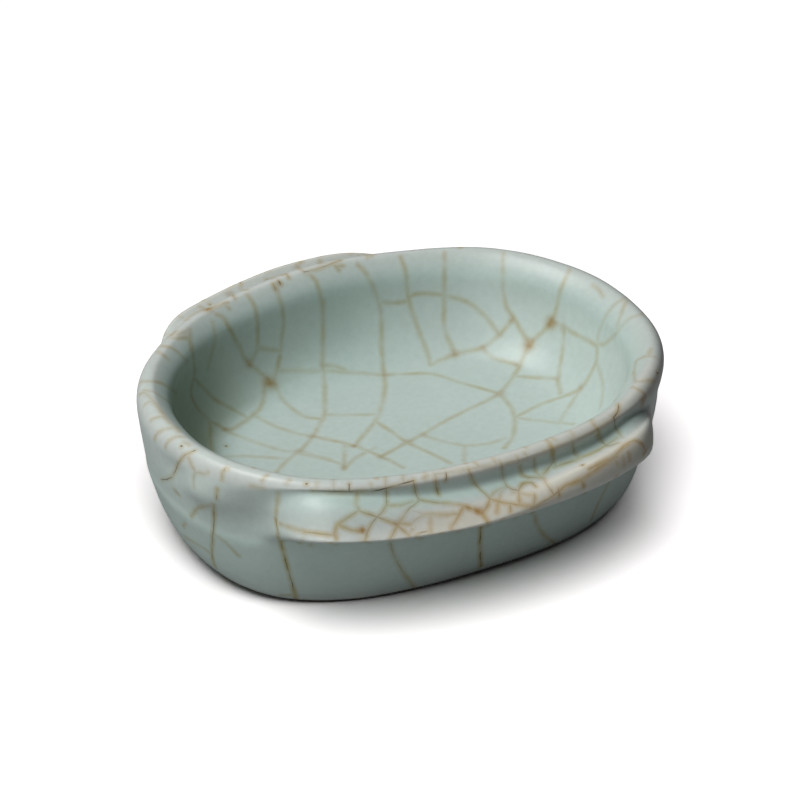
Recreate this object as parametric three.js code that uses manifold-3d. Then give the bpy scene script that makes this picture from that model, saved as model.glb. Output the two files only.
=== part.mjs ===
// Oval ink palette in crackled celadon: a stoneware dish with a crescent ear along each long side,
// standing on a bare foot ring and coated in thick glaze.
// Millimetres. +X runs along the dish, +Z is up, the ground is z = 0, the front ear is on the -Y side.
import * as THREE from 'three';
import { mergeVertices } from 'three/addons/utils/BufferGeometryUtils.js';
import Module from 'manifold-3d';

// Overall size
const rimLength = 120;
const rimWidth = 93.2;
const height = 36.7;
const hollowDepth = 22;

// Ovals of the rim, the foot and the flat of the hollow. A squareness of 2 is an ellipse.
const rimSquareness = 2.21;
const footLength = 100.6;
const footWidth = 69.4;
const footSquareness = 2.66;
const floorLength = 82;
const floorWidth = 58;
const floorSquareness = 2.4;

// Lip: broad and soft at the ends of the dish, narrower and crisper beside the ears
const lipWidthAtEnds = 6.6;
const lipWidthAtEars = 4.4;
const lipRollAtEnds = 2.7;
const lipRollAtEars = 1.1;
const lipShoulderDrop = 1.6;
const lipTopDrop = 0.3;

// Ears: a groove behind the lip, a ledge that runs out to a crest, and a blunt outer face
const grooveDrop = 5;
const grooveWidth = 2.6;
const frontEarReach = 8.2;
const backEarReach = 8.9;
const crestDropLow = 8.1;
const frontCrestRise = 4.6;
const backCrestRise = 5.2;
const earUnderDrop = 10.6;
const earEdgeSwell = 1.2;

// Wall below the lip and below the ears
const plainWallTop = 19;
const wallTopUnderEar = 12.2;
const wallSwellAtEnds = 1.6;
const wallSwellUnderEars = 0.55;
const wallTopShare = 0.22;
const wallBehindEar = 0.35;
const plainWallOut = 0.45;
const plainWallLean = 1.3;

// The way that a surface looks in section, out from the middle and up
const facing = (out, up) => ({ out, up });

// Outer wall in section: the way down to the foot, how much of the swell it has,
// and the share of the way from the rim's oval to the foot's
const wallRows = [
  { down: 0.2, full: 0.6, share: 0.35, face: facing(1, -0.2) },
  { down: 0.5, full: 0.95, share: 0.54, face: facing(1, -0.25) },
  { down: 0.79, full: 1, share: 0.775, face: facing(1, -0.3) },
];

// Hollow in section: depth and reach as shares of its depth and of the oval of its floor,
// then the wall, which leans in a little more at the ends of the dish
const hollowFloorRows = [
  { depth: 1, reach: 0 },
  { depth: 1, reach: 0.35 },
  { depth: 0.995, reach: 0.68 },
];
const hollowWallRows = [
  { depth: 0.965, out: 0, lean: 0, share: 1, face: facing(-0.25, 0.95) },
  { depth: 0.865, out: -1.4, lean: 0, share: 0.7, face: facing(-0.6, 0.8) },
  { depth: 0.69, out: -2.6, lean: 0, share: 0.42, face: facing(-0.8, 0.55) },
  { depth: 0.46, out: -3.9, lean: -0.4, share: 0.2, face: facing(-0.95, 0.3) },
  { depth: 0.23, out: -4.5, lean: -0.8, share: 0.06, face: facing(-1, 0.15) },
];

// Foot and base
const bareFoot = 0.8;
const footRingHeight = 5;
const footRingWidth = 6;

// Glaze coats lie on the clay with a hair of room between the solids
const glazeThickness = 0.8;
const seatGap = 0.3;
const clayInset = glazeThickness + seatGap;

// Number of facets round the dish, and of section points between the lip and the ledge
const stepsRound = 64;
const groovePoints = 2;

// Marks of the hand, as swells (+) and dents (-) of the outer wall.
// The angle is in degrees about Z from +X, and a drop is measured down from the rim.
const handMarks = [
  { angle: -163, spread: 6.5, drop: 8.5, tall: 3.5, out: 1.3 }, // finger swell at the front left
  { angle: -172, spread: 4.5, drop: 7, tall: 3.5, out: -0.8 }, // crease beside it
  { angle: -150, spread: 7.5, drop: 12, tall: 6, out: -1.5 }, // hollow before the front ear
  { angle: 30, spread: 7.5, drop: 12, tall: 6, out: -1.5 }, // hollow before the back ear
  { angle: -30, spread: 13, drop: 9, tall: 5, out: -2 }, // end of the front groove
  { angle: -30, spread: 13, drop: 24, tall: 9, out: -1.6 },
  { angle: 150, spread: 13, drop: 9, tall: 5, out: -0.7 }, // end of the back groove
];

// The rim stands a little higher and wider over the back ear
const rimSag = { angle: 86, spread: 24, up: 0.9, out: 0.6, fade: 9 };

const wasm = await Module();
wasm.setup();

// Small helpers

const mix = (a, b, t) => a + (b - a) * t;
const ease = (x, from, to) => THREE.MathUtils.smoothstep(x, from, to);
const bell = (x, spread) => Math.exp(-((x / spread) ** 2));
const turnBetween = (a, b) => THREE.MathUtils.euclideanModulo(a - b + 180, 360) - 180;

function ovalRadius(length, width, squareness, angle) {
  const across = Math.abs((2 * Math.cos(angle)) / length) ** squareness;
  const along = Math.abs((2 * Math.sin(angle)) / width) ** squareness;
  return (across + along) ** (-1 / squareness);
}

const rimRadius = (angle) => ovalRadius(rimLength, rimWidth, rimSquareness, angle);
const footRadius = (angle) => ovalRadius(footLength, footWidth, footSquareness, angle);
const floorRadius = (angle) => ovalRadius(floorLength, floorWidth, floorSquareness, angle);

// What the dish is like at one angle. Both halves share one pattern, turned half round:
// an ear grows gently out of the wall at one end and stops bluntly at the other.
function traitsAt(angle) {
  const degrees = THREE.MathUtils.radToDeg(angle);
  const isBack = degrees >= 0 && degrees < 180;
  const half = isBack ? degrees - 180 : degrees;
  const rising = isBack
    ? ease(half, -130, -100) - 0.22 * ease(half, -84, -50)
    : ease(half, -104, -62);
  return {
    degrees,
    ear: ease(half, -154, -132) * (1 - ease(half, -58, -38)),
    lip: ease(half, -158, -134) * (1 - ease(half, -50, -34)),
    reach: isBack ? backEarReach : frontEarReach,
    rising,
    crestDrop: crestDropLow - rising * (isBack ? backCrestRise : frontCrestRise),
  };
}

// One point of a section is { drop, out, share, face }: drop below the rim, out from the oval,
// share of the way from the rim's oval to the lower one, and face, the way the surface looks.
// The glaze is laid along face, so the clay lies that far behind the surface.

function blendPoint(plain, eared, weight) {
  return {
    drop: mix(plain.drop, eared.drop, weight),
    out: mix(plain.out, eared.out, weight),
    share: mix(plain.share, eared.share, weight),
    face: facing(mix(plain.face.out, eared.face.out, weight), mix(plain.face.up, eared.face.up, weight)),
  };
}

// Outer side of the section, from the crest of the lip down to the foot,
// with the ear standing out of it or with the bare wall that the ear sits on
function outerSection(traits, withEar = true) {
  const { ear, lip, reach, rising, crestDrop } = traits;
  const lipWidth = mix(lipWidthAtEnds, lipWidthAtEars, lip);
  const lipRoll = mix(lipRollAtEnds, lipRollAtEars, lip);
  const ledgeDrop = mix(grooveDrop + 0.9, crestDrop + 0.4, 0.45 * rising);
  const lipPoints = [
    { drop: 0, out: -0.5 * lipWidth, share: 0, face: facing(0, 1) },
    { drop: 0.03, out: -0.26 * lipWidth, share: 0, face: facing(0.1, 1) },
    { drop: 0.42 * lipRoll, out: -0.06 * lipWidth, share: 0, face: facing(0.55, 0.75) },
    { drop: lipRoll, out: mix(0.15, 0.45, lip), share: 0, face: facing(1, 0.35) },
  ];
  const earPoints = [
    { drop: 0.52 * grooveDrop, out: 0.35, share: 0.02, face: facing(1, 0.15) },
    { drop: 0.86 * grooveDrop, out: 0.6, share: 0.03, face: facing(0.8, 0.55) },
    { drop: grooveDrop - 0.4 * rising, out: grooveWidth, share: 0.05, face: facing(0.1, 1) },
    { drop: ledgeDrop, out: 0.63 * reach, share: 0.06, face: facing(0, 1) },
    { drop: crestDrop - 0.4, out: reach - 1.2, share: 0.07, face: facing(0.35, 0.9) },
    { drop: crestDrop + 0.9, out: reach + 0.4 * earEdgeSwell, share: 0.09, face: facing(1.1, 0.35) },
    { drop: earUnderDrop - 1.3, out: reach + earEdgeSwell, share: 0.11, face: facing(1.2, -0.25) },
    { drop: earUnderDrop, out: reach + 0.2, share: 0.13, face: facing(0.9, -0.7) },
    { drop: earUnderDrop + 0.4, out: 0.5 * reach, share: 0.16, face: facing(0.2, -1) },
  ];
  const lastDrop = earPoints[earPoints.length - 1].drop;
  const wallPoints = Array.from(earPoints.keys(), (index) => {
    const drop = mix(earPoints[0].drop, lastDrop, index / (earPoints.length - 1));
    return { drop, out: wallBehindEar, share: (wallTopShare * drop) / wallTopUnderEar, face: facing(1, 0) };
  });
  const points = [...lipPoints];
  (withEar ? earPoints : wallPoints).forEach((eared, index) => {
    const way = (index + 1) / (earPoints.length + 1);
    const plain = {
      drop: mix(lipRoll, plainWallTop, way),
      out: plainWallOut,
      share: wallTopShare * way ** plainWallLean,
      face: facing(1, 0.05),
    };
    points.push(blendPoint(plain, eared, index < groovePoints ? lip : ear));
  });
  const wallTop = mix(plainWallTop, wallTopUnderEar, ear);
  const swell = mix(wallSwellAtEnds, wallSwellUnderEars, ear);
  const footDrop = height - bareFoot;
  points.push(
    { drop: wallTop, out: 0.45 * swell + 0.1, share: wallTopShare, face: facing(1, mix(-0.1, -0.3, ear)) },
    ...wallRows.map(({ down, full, share, face }) => (
      { drop: mix(wallTop, footDrop, down), out: full * swell, share, face }
    )),
    { drop: footDrop, out: 0.1, share: 1, face: facing(1, 0) },
  );
  return points;
}

// Inner side of the section, from the middle of the hollow's floor up to the lip
function innerSection(traits) {
  const { lip } = traits;
  const lipWidth = mix(lipWidthAtEnds, lipWidthAtEars, lip);
  const leanIn = mix(1, 0, lip);
  return [
    ...hollowFloorRows.map(({ depth, reach }) => (
      { drop: depth * hollowDepth, reach, face: facing(0, 1) }
    )),
    ...hollowWallRows.map(({ depth, out, lean, share, face }) => (
      { drop: depth * hollowDepth, out: out + lean * leanIn, share, face }
    )),
    { drop: lipShoulderDrop, out: -0.94 * lipWidth + 0.6 * leanIn, share: 0.01, face: facing(-0.9, 0.35) },
    { drop: lipTopDrop, out: -0.75 * lipWidth + 0.3 * leanIn, share: 0, face: facing(-0.4, 0.85) },
  ];
}

// Radius and height of a section's points, inset from the surface of the glaze,
// and rounded off by weighing each point with its neighbours, as a cubic spline does
function placed(angle, points, lowerOval, inset, marks) {
  const { degrees } = traitsAt(angle);
  const sag = bell(turnBetween(degrees, rimSag.angle), rimSag.spread);
  return points.map((point) => {
    const lower = lowerOval(angle);
    const isFloor = point.reach !== undefined;
    let radius = isFloor ? lower * point.reach : mix(rimRadius(angle), lower, point.share) + point.out;
    for (const mark of marks) {
      const near = bell(turnBetween(degrees, mark.angle), mark.spread);
      radius += mark.out * near * bell(point.drop - mark.drop, mark.tall);
    }
    radius += isFloor ? 0 : rimSag.out * sag * (1 - point.share);
    const rise = isFloor ? 0 : rimSag.up * sag * bell(point.drop, rimSag.fade);
    return new THREE.Vector2(
      radius - inset * point.face.out,
      height - point.drop + rise - inset * point.face.up,
    );
  });
}

function rounded(points) {
  return points.map((point, index) => {
    if (index === 0 || index === points.length - 1) {
      return point.clone();
    }
    const around = points[index - 1].clone().add(points[index + 1]);
    return point.clone().multiplyScalar(4).add(around).divideScalar(6);
  });
}

// The whole section in one run, from the middle of the floor over the lip and down to the foot
function runAt(angle, inset, withEar = true) {
  const traits = traitsAt(angle);
  const inner = placed(angle, innerSection(traits), floorRadius, inset, []);
  const outer = placed(angle, outerSection(traits, withEar), footRadius, inset, handMarks);
  return { run: rounded([...inner, ...outer]), crest: inner.length };
}

// A closed body from a section at each angle: a lathe turns the count of points,
// and each of its points then moves to its own place
function turnedBody(sectionAt) {
  const sections = [];
  for (let step = 0; step < stepsRound; step += 1) {
    const angle = Math.PI - (2 * Math.PI * step) / stepsRound;
    sections.push({ angle, points: sectionAt(angle) });
  }
  const count = sections[0].points.length;
  const blank = sections[0].points.map((point) => new THREE.Vector2(Math.max(point.x, 0), point.y));
  const geometry = new THREE.LatheGeometry(blank, stepsRound);
  const position = geometry.getAttribute('position');
  for (let step = 0; step <= stepsRound; step += 1) {
    const { angle, points } = sections[step % stepsRound];
    points.forEach((point, index) => {
      position.setXYZ(
        step * count + index,
        point.x * Math.cos(angle),
        point.x * Math.sin(angle),
        point.y,
      );
    });
  }
  geometry.deleteAttribute('normal');
  geometry.deleteAttribute('uv');
  return mergeVertices(geometry, 1e-4);
}

// Solids for the cuts

function toSolid(geometry) {
  const index = geometry.getIndex().array;
  const corners = [];
  for (let at = 0; at < index.length; at += 3) {
    const [a, b, c] = [index[at], index[at + 1], index[at + 2]];
    if (a !== b && b !== c && c !== a) {
      corners.push(a, b, c);
    }
  }
  return new wasm.Manifold(new wasm.Mesh({
    numProp: 3,
    vertProperties: new Float32Array(geometry.getAttribute('position').array),
    triVerts: new Uint32Array(corners),
  }));
}

function toGeometry(solid) {
  const mesh = solid.getMesh();
  const geometry = new THREE.BufferGeometry();
  geometry.setAttribute('position', new THREE.BufferAttribute(mesh.vertProperties, 3));
  geometry.setIndex(new THREE.BufferAttribute(mesh.triVerts, 1));
  return geometry;
}

const largest = (solids) => solids.sort((a, b) => b.volume() - a.volume())[0];

// Materials

const celadon = new THREE.MeshStandardMaterial({ color: 0xb4ccc8, roughness: 0.18, metalness: 0 });
const stoneware = new THREE.MeshStandardMaterial({ color: 0x8d8378, roughness: 0.85, metalness: 0 });
const bareClay = new THREE.MeshStandardMaterial({ color: 0x4a3a30, roughness: 0.8, metalness: 0 });

const palette = new THREE.Group();

function addPart(name, geometry, material) {
  const mesh = new THREE.Mesh(geometry, material);
  mesh.name = name;
  palette.add(mesh);
}

// Dish: floor and wall, flat underneath where it sits on the foot ring

function clayBody(inset, withEar) {
  return turnedBody((angle) => {
    const { run } = runAt(angle, inset, withEar);
    const foot = footRadius(angle) - inset;
    const wall = run.slice(0, -1);
    return [
      ...wall.map((point) => new THREE.Vector2(point.x, Math.max(point.y, footRingHeight))),
      new THREE.Vector2(foot, footRingHeight),
      new THREE.Vector2(0, footRingHeight),
    ];
  });
}

const dishSolid = toSolid(clayBody(clayInset, false));
addPart('dish_body', toGeometry(dishSolid), stoneware);

// Outer coat of glaze, from the crest of the lip over the ears to the foot

function outerCoat(thickness) {
  return turnedBody((angle) => {
    const front = runAt(angle, 0);
    const behind = runAt(angle, thickness);
    const face = front.run.slice(front.crest);
    const back = behind.run.slice(behind.crest).reverse();
    return [...face, ...back, face[0].clone()];
  });
}

addPart('outer_glaze', outerCoat(glazeThickness), celadon);

// Ears: the clay that stands out of the wall, cut to sit against the dish and under the glaze

const earedSolid = toSolid(clayBody(clayInset, true));
const wallWithGap = toSolid(clayBody(clayInset - seatGap, false));
const coatWithGap = toSolid(outerCoat(clayInset));
const earSolids = earedSolid.subtract(wallWithGap).subtract(coatWithGap).decompose();
const sideOf = (solid) => Math.sign(solid.boundingBox().min[1] + solid.boundingBox().max[1]);
addPart('front_ear', toGeometry(largest(earSolids.filter((solid) => sideOf(solid) < 0))), stoneware);
addPart('back_ear', toGeometry(largest(earSolids.filter((solid) => sideOf(solid) > 0))), stoneware);

// Foot ring: flat on the ground, its outer edge bare below the glaze

addPart('foot_ring', turnedBody((angle) => {
  const outside = footRadius(angle) - clayInset;
  const inside = outside - footRingWidth;
  const top = footRingHeight - seatGap;
  return [
    new THREE.Vector2(inside, top),
    new THREE.Vector2(outside, top),
    new THREE.Vector2(outside, 0),
    new THREE.Vector2(inside, 0),
    new THREE.Vector2(inside, top),
  ];
}), bareClay);

// Glaze in the hollow, from the middle of the floor to the crest of the lip

addPart('lining_glaze', turnedBody((angle) => {
  const front = runAt(angle, 0);
  const behind = runAt(angle, glazeThickness);
  const face = front.run.slice(0, front.crest);
  const back = behind.run.slice(0, behind.crest).reverse();
  return [...face, ...back];
}), celadon);

// Glaze under the base, inside the foot ring

addPart('base_glaze', turnedBody((angle) => {
  const edge = footRadius(angle) - clayInset - footRingWidth - seatGap;
  const top = footRingHeight - seatGap;
  return [
    new THREE.Vector2(0, top),
    new THREE.Vector2(edge, top),
    new THREE.Vector2(edge, top - glazeThickness),
    new THREE.Vector2(0, top - glazeThickness),
  ];
}), celadon);

export default palette;
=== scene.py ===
# Ink palette in crackled celadon: a glazed oval dish with an ear along each long side, on a bare foot.
import math
import random

import bmesh
import bpy
import numpy as np
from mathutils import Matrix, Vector, kdtree, noise
from mathutils.bvhtree import BVHTree


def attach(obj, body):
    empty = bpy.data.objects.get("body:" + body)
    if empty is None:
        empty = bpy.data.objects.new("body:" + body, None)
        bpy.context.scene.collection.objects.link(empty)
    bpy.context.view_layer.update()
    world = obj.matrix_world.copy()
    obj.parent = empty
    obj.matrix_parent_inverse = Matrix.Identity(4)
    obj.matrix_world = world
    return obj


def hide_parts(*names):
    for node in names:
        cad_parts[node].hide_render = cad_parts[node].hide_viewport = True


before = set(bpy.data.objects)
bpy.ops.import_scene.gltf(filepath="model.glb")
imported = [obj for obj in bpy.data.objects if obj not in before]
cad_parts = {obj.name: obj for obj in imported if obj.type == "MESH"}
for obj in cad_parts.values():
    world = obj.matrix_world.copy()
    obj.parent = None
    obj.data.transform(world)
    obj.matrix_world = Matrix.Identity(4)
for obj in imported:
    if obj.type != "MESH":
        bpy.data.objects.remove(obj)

mm = 0.001
scene = bpy.context.scene
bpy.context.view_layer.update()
print("frame loaded:", len(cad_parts), "solids")


# Camera, at the photograph's place: a long lens looking down across the front left of the dish.
# Angles in degrees and lengths in millimetres, but metres for the clip distances.
view = {
    "turn": 27.79, "elevation": 31.3, "distance": 800, "aimRight": -0.71, "aimDeep": 43.06,
    "lens": 151.0, "sensor": 36.0, "pictureSize": 800, "clipStart": 0.01, "clipEnd": 20,
}


# Level directions as the camera sees the dish: to the right, and deeper into the picture
def levelDirections():
    turn = math.radians(view["turn"])
    return Vector((math.cos(turn), -math.sin(turn), 0)), Vector((math.sin(turn), math.cos(turn), 0))


def makeCamera():
    rightward, deep = levelDirections()
    rise = math.radians(view["elevation"])
    aim = (rightward * view["aimRight"] + deep * view["aimDeep"]) * mm
    back = Vector((0, 0, 1)) * math.sin(rise) - deep * math.cos(rise)
    data = bpy.data.cameras.new("camera")
    data.lens = view["lens"]
    data.sensor_width = view["sensor"]
    data.clip_start = view["clipStart"]
    data.clip_end = view["clipEnd"]
    camera = bpy.data.objects.new("camera", data)
    camera.rotation_mode = "QUATERNION"
    camera.location = aim + back * view["distance"] * mm
    camera.rotation_quaternion = (-back).to_track_quat("-Z", "Y")
    scene.collection.objects.link(camera)
    scene.camera = camera
    bpy.context.view_layer.update()
    return camera


camera = makeCamera()
print("camera placed")


# Section of the dish, in millimetres as the solids have it
dish = {
    "rim": {"length": 120, "width": 93.2, "squareness": 2.21},
    "foot": {"length": 100.6, "width": 69.4, "squareness": 2.66},
    "floor": {"length": 82, "width": 58, "squareness": 2.4},
    "height": 36.7, "hollowDepth": 22, "bareFoot": 0.8, "glaze": 0.8,
}
lipShape = {
    "widthAtEnds": 6.6, "widthAtEars": 4.4, "rollAtEnds": 2.7, "rollAtEars": 1.1, "thinnerAtShadedEnd": 0.5,
}
earShape = {
    "grooveDrop": 5, "grooveStart": 0.45, "grooveWidth": 2.6, "grooveFilled": 0.3,
    "frontReach": 8.2, "backReach": 8.9, "crestDropLow": 8.1, "frontRise": 4.6, "backRise": 5.2,
    "backSink": 0.22, "underDrop": 10.6, "edgeSwell": 1.2, "endRounding": 0.7, "warmAtBack": 0.6,
}
wallShape = {
    "topAtEnds": 19, "topUnderEar": 12.2, "swellAtEnds": 1.6, "swellUnderEars": 0.55,
    "topShare": 0.22, "plainOut": 0.45, "plainLean": 1.3,
}
# Swells and dents that the hand left: degrees round the dish and spread there, millimetres down the
# wall and spread there, and how far out
handMarks = [
    (-163, 6.5, 8.5, 3.5, 1.7), (-172, 4.5, 7, 3.5, -1), (-150, 7.5, 12, 6, -1.9),
    (30, 7.5, 12, 6, -1.5), (-30, 13, 9, 5, -1), (-30, 13, 24, 9, -1.6), (150, 13, 9, 5, -0.2),
]
# The rim isn't level: it stands higher over the back ear and beside it. Degrees round, their spread,
# millimetres up and out, and how far down the wall that fades.
rimWaves = [(88, 22, 1.3, 0.6), (40, 26, 0.9, 0.3)]
rimFade = 9
# Where each trait comes and goes, in degrees: round the half that carries an ear, from the right end
# at 0 to the left end at -180, but for steep and the left end's painted shade round the whole dish.
# Four angles are a span, two in rising order an edge, and filled and the painted shade have a middle
# and a spread.
turns = {
    "ear": (-154, -132, -57.5, -30.5), "lip": (-158, -134, -50, -34), "warm": (-130, -106, -34, -20),
    "frontRise": (-104, -62), "backRise": (-130, -100), "backSink": (-84, -50), "hold": (-100, -70),
    "rounding": (-88, -74), "groove": (-150, -98), "filled": (-48, 8), "steep": (40, 90, 176, 210),
    "shadedEnd": (172, 40),
}


def mix(a, b, t):
    return a + (b - a) * t


def ease(x, low, high):
    t = min(max((x - low) / (high - low), 0), 1)
    return t * t * (3 - 2 * t)


# 1 between the two middle angles of four, fading to 0 at the outer ones
def within(x, span):
    return ease(x, *span[:2]) * (1 - ease(x, *span[2:]))


def bell(x, spread):
    return math.exp(-((x / spread) ** 2))


def turnBetween(a, b):
    return (a - b + 180) % 360 - 180


def ovalRadius(oval, angle):
    power = oval["squareness"]
    across = abs(2 * math.cos(angle) / oval["length"]) ** power
    along = abs(2 * math.sin(angle) / oval["width"]) ** power
    return (across + along) ** (-1 / power)


# What the section is like at an angle. Both halves of the dish share one pattern, turned half round:
# an ear grows gently out of the wall at one end and stops bluntly at the other.
def traitsAt(angle):
    degrees = turnBetween(math.degrees(angle), 0)
    isBack = 0 <= degrees < 180
    half = degrees - 180 if isBack else degrees
    rising = ease(half, *turns["frontRise"])
    if isBack:
        rising = ease(half, *turns["backRise"]) - earShape["backSink"] * ease(half, *turns["backSink"])
    rise = earShape["backRise"] if isBack else earShape["frontRise"]
    ear = within(half, turns["ear"])
    groove = earShape["grooveDrop"] * mix(earShape["grooveStart"], 1, ease(half, *turns["groove"]))
    highEnd = ease(half, *turns["rounding"])
    filledAt, filledSpread = turns["filled"]
    shadedEndAt, shadedEndSpread = turns["shadedEnd"]
    return {
        "degrees": degrees,
        "ear": ear,
        "hold": ear ** mix(1, 0.5, ease(half, *turns["hold"])),
        "lip": within(half, turns["lip"]),
        "reach": earShape["backReach"] if isBack else earShape["frontReach"],
        "rising": rising,
        "rounding": (0 if isBack else rising) * mix(1, earShape["endRounding"], highEnd),
        "warm": (earShape["warmAtBack"] if isBack else 1) * within(half, turns["warm"]),
        "groove": groove * (1 - earShape["grooveFilled"] * bell(half - filledAt, filledSpread)),
        "crest": earShape["crestDropLow"] - rising * rise,
        "steep": mix(0.4, 1, within(degrees % 360, turns["steep"])),
        # Round the left end, whose inner wall gets painted shade and whose lip is thinner
        "shadedEnd": bell(turnBetween(degrees, shadedEndAt), shadedEndSpread),
    }


# A row of the section: drop below the rim, out from the oval, share of the way to the lower oval,
# the way that the surface looks (out, up), and how thin the glaze is there. Its thinness is below 0
# where a darker green is painted in as shade, 0 where it is thick, 1 where it ran thin, and up to 1.5
# where iron warms it.
# reach is a share of the lower oval instead, for the floor of the hollow.
# Thinness at which the painted shade on the hollow's wall is at full strength
paintedShadeThin = -0.3


def row(drop, out, share, faceOut, faceUp, thin, reach=None):
    face = (faceOut, faceUp)
    return {"drop": drop, "out": out, "share": share, "face": face, "thin": thin, "reach": reach}


def blendRows(a, b, t, hold):
    face = (mix(a["face"][0], b["face"][0], t), mix(a["face"][1], b["face"][1], t))
    out, share, thin = (mix(a[key], b[key], t) for key in ("out", "share", "thin"))
    return row(mix(a["drop"], b["drop"], hold), out, share, *face, thin)


# The outside, from the crest of the lip down to the foot. Numbers are millimetres, or shares of the
# lip's width and roll, the groove's depth and the ear's reach.
def outerRows(traits):
    ear, lip, reach, rising = traits["ear"], traits["lip"], traits["reach"], traits["rising"]
    crest, under, groove = traits["crest"], earShape["underDrop"], traits["groove"]
    swell, rounding, warm = earShape["edgeSwell"], traits["rounding"], traits["warm"]
    lipWidth = mix(lipShape["widthAtEnds"], lipShape["widthAtEars"], lip)
    roll = mix(lipShape["rollAtEnds"], lipShape["rollAtEars"], lip)
    ledge = mix(groove + 0.9, crest + 0.4, 0.45 * rising) + 0.35 * (earShape["grooveDrop"] - groove)
    ledge -= 0.6 * rounding
    ledgeOut = (0.63 - 0.09 * rounding) * reach
    rows = [
        row(0, -0.5 * lipWidth, 0, 0, 1, 0.8 + 0.4 * warm),  # crest of the lip
        row(0.03, -0.26 * lipWidth, 0, 0.1, 1, 0.8 + 0.4 * warm),
        row(0.42 * roll, -0.06 * lipWidth, 0, 0.55, 0.75, 1 + 0.2 * warm),
        row(roll, mix(0.15, 0.45, lip), 0, 1, 0.35, 0.9 + 0.3 * warm),
    ]
    eared = [
        row(0.52 * groove, 0.35, 0.02, 1, 0.15, 0.3),  # groove
        row(0.86 * groove, 0.6, 0.03, 0.8, 0.55, 0),
        row(groove - 0.4 * rising, earShape["grooveWidth"], 0.05, 0.1, 1, 0),
        row(ledge, ledgeOut, 0.06, 0, 1, 0.4 + 0.85 * warm),  # top of the ear
        row(crest - 0.4 + 0.6 * rounding, reach - 1.2 - 1.1 * rounding, 0.07,
            0.35, 0.9, 0.8 + 0.7 * warm),
        row(crest + 0.9 + 1.1 * rounding, reach + 0.4 * swell - 0.5 * rounding, 0.09,
            1.1, 0.35, 1 + 0.5 * warm),  # its edge
        row(under - 1.3 - 0.7 * rounding, reach + swell, 0.11, 1.2, -0.25, 0.8 + 0.5 * warm),
        row(under, reach + 0.2, 0.13, 0.9, -0.7, 0.5 + 0.4 * warm),  # its underside
        row(under + 0.4, 0.5 * reach, 0.16, 0.2, -1, 0),
    ]
    for number, earRow in enumerate(eared):
        way = (number + 1) / (len(eared) + 1)
        drop = mix(roll, wallShape["topAtEnds"], way)
        share = wallShape["topShare"] * way ** wallShape["plainLean"]
        plain = row(drop, wallShape["plainOut"], share, 1, 0.05, mix(0.6, 0.1, way))
        nearLip, nearUnder = number < 2, number > 5
        ways = (lip, lip) if nearLip else (ear, ear ** 1.25 if nearUnder else traits["hold"])
        rows.append(blendRows(plain, earRow, *ways))
    top = mix(wallShape["topAtEnds"], wallShape["topUnderEar"], ear)
    bulge = mix(wallShape["swellAtEnds"], wallShape["swellUnderEars"], ear)
    foot = dish["height"] - dish["bareFoot"]
    return rows + [
        row(top, 0.45 * bulge + 0.1, wallShape["topShare"], 1, mix(-0.1, -0.3, ear), 0),  # wall
        row(mix(top, foot, 0.2), 0.6 * bulge, 0.35, 1, -0.2, 0),
        row(mix(top, foot, 0.5), 0.95 * bulge, 0.54, 1, -0.25, 0),
        row(mix(top, foot, 0.79), bulge, 0.775, 1, -0.3, 0.1),
        row(mix(top, foot, 0.96), 0.35 * bulge, 0.95, 1, -0.15, 0.4),
        row(foot, 0.1, 1, 1, 0, 0.9),  # edge of the glaze at the bare foot
    ]


# The hollow, from the middle of its floor up to the crest of the lip
def innerRows(traits):
    depth, steep, shadedEnd = dish["hollowDepth"], traits["steep"], traits["shadedEnd"]
    lipWidth = mix(lipShape["widthAtEnds"], lipShape["widthAtEars"], traits["lip"])
    lean = 1 - traits["lip"]
    # Thinness of the hollow's wall: paler where the wall is less steep, and turning to painted shade, a
    # darker green, round the left end
    paintedShade = mix(0.5 * (1 - steep), paintedShadeThin, shadedEnd)
    lipWidth -= lipShape["thinnerAtShadedEnd"] * shadedEnd
    flat = [row(depth, 0, 1, 0, 1, 0.3, reach) for reach in (0, 0.1, 0.2, 0.3, 0.4, 0.5, 0.6)]
    return flat + [
        row(0.995 * depth, 0, 1, 0, 1, 0.3, 0.7),
        row(0.983 * depth, 0, 1, -0.1, 1, 0.25, 0.85),
        row(0.965 * depth, 0, 1, -0.25, 0.95, 0.15 + 0.5 * paintedShade),  # bend up into the wall
        row(0.89 * depth, -0.9, mix(0.86, 0.72, steep), -0.6, 0.8, paintedShade),
        row(0.74 * depth, -2.2, mix(0.6, 0.45, steep), -0.8, 0.55, paintedShade),
        row(0.54 * depth, -3.2 - 0.2 * lean, mix(0.39, 0.27, steep), -0.95, 0.3, paintedShade),
        row(0.34 * depth, -3.7 - 0.4 * lean, mix(0.24, 0.18, steep), -0.95, 0.3, paintedShade),
        row(0.175 * depth, -0.98 * lipWidth - 0.9 * (1 - lean), 0.08, -0.85, 0.5, 0.4 * paintedShade),
        row(0.075 * depth, -0.85 * lipWidth - 0.5 * (1 - lean), 0.02, -0.65, 0.75, mix(0.45, 0.1, shadedEnd)),
        row(0.4, -0.66 * lipWidth - 0.2 * (1 - lean), 0, -0.35, 0.95, 0.7),
    ]


# Radius and height of a row at one angle, so far under the surface as the inset says
def placeRow(angle, degrees, point, lowerOval, inset, marks):
    lower = ovalRadius(lowerOval, angle)
    height = dish["height"] - point["drop"] - inset * point["face"][1]
    if point["reach"] is not None:
        return (lower * point["reach"] - inset * point["face"][0], height)
    radius = mix(ovalRadius(dish["rim"], angle), lower, point["share"]) + point["out"]
    for middle, spread, drop, tall, out in marks:
        near = bell(turnBetween(degrees, middle), spread)
        radius += out * near * bell(point["drop"] - drop, tall)
    for middle, spread, up, out in rimWaves:
        near = bell(turnBetween(degrees, middle), spread)
        radius += out * near * (1 - point["share"])
        height += up * near * bell(point["drop"], rimFade)
    return (radius - inset * point["face"][0], height)


# Thinness given to the side towards the clay, which carries no cracks. A face with a corner below
# the limit counts as that side.
behind, behindLimit = -1, -0.4


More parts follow.
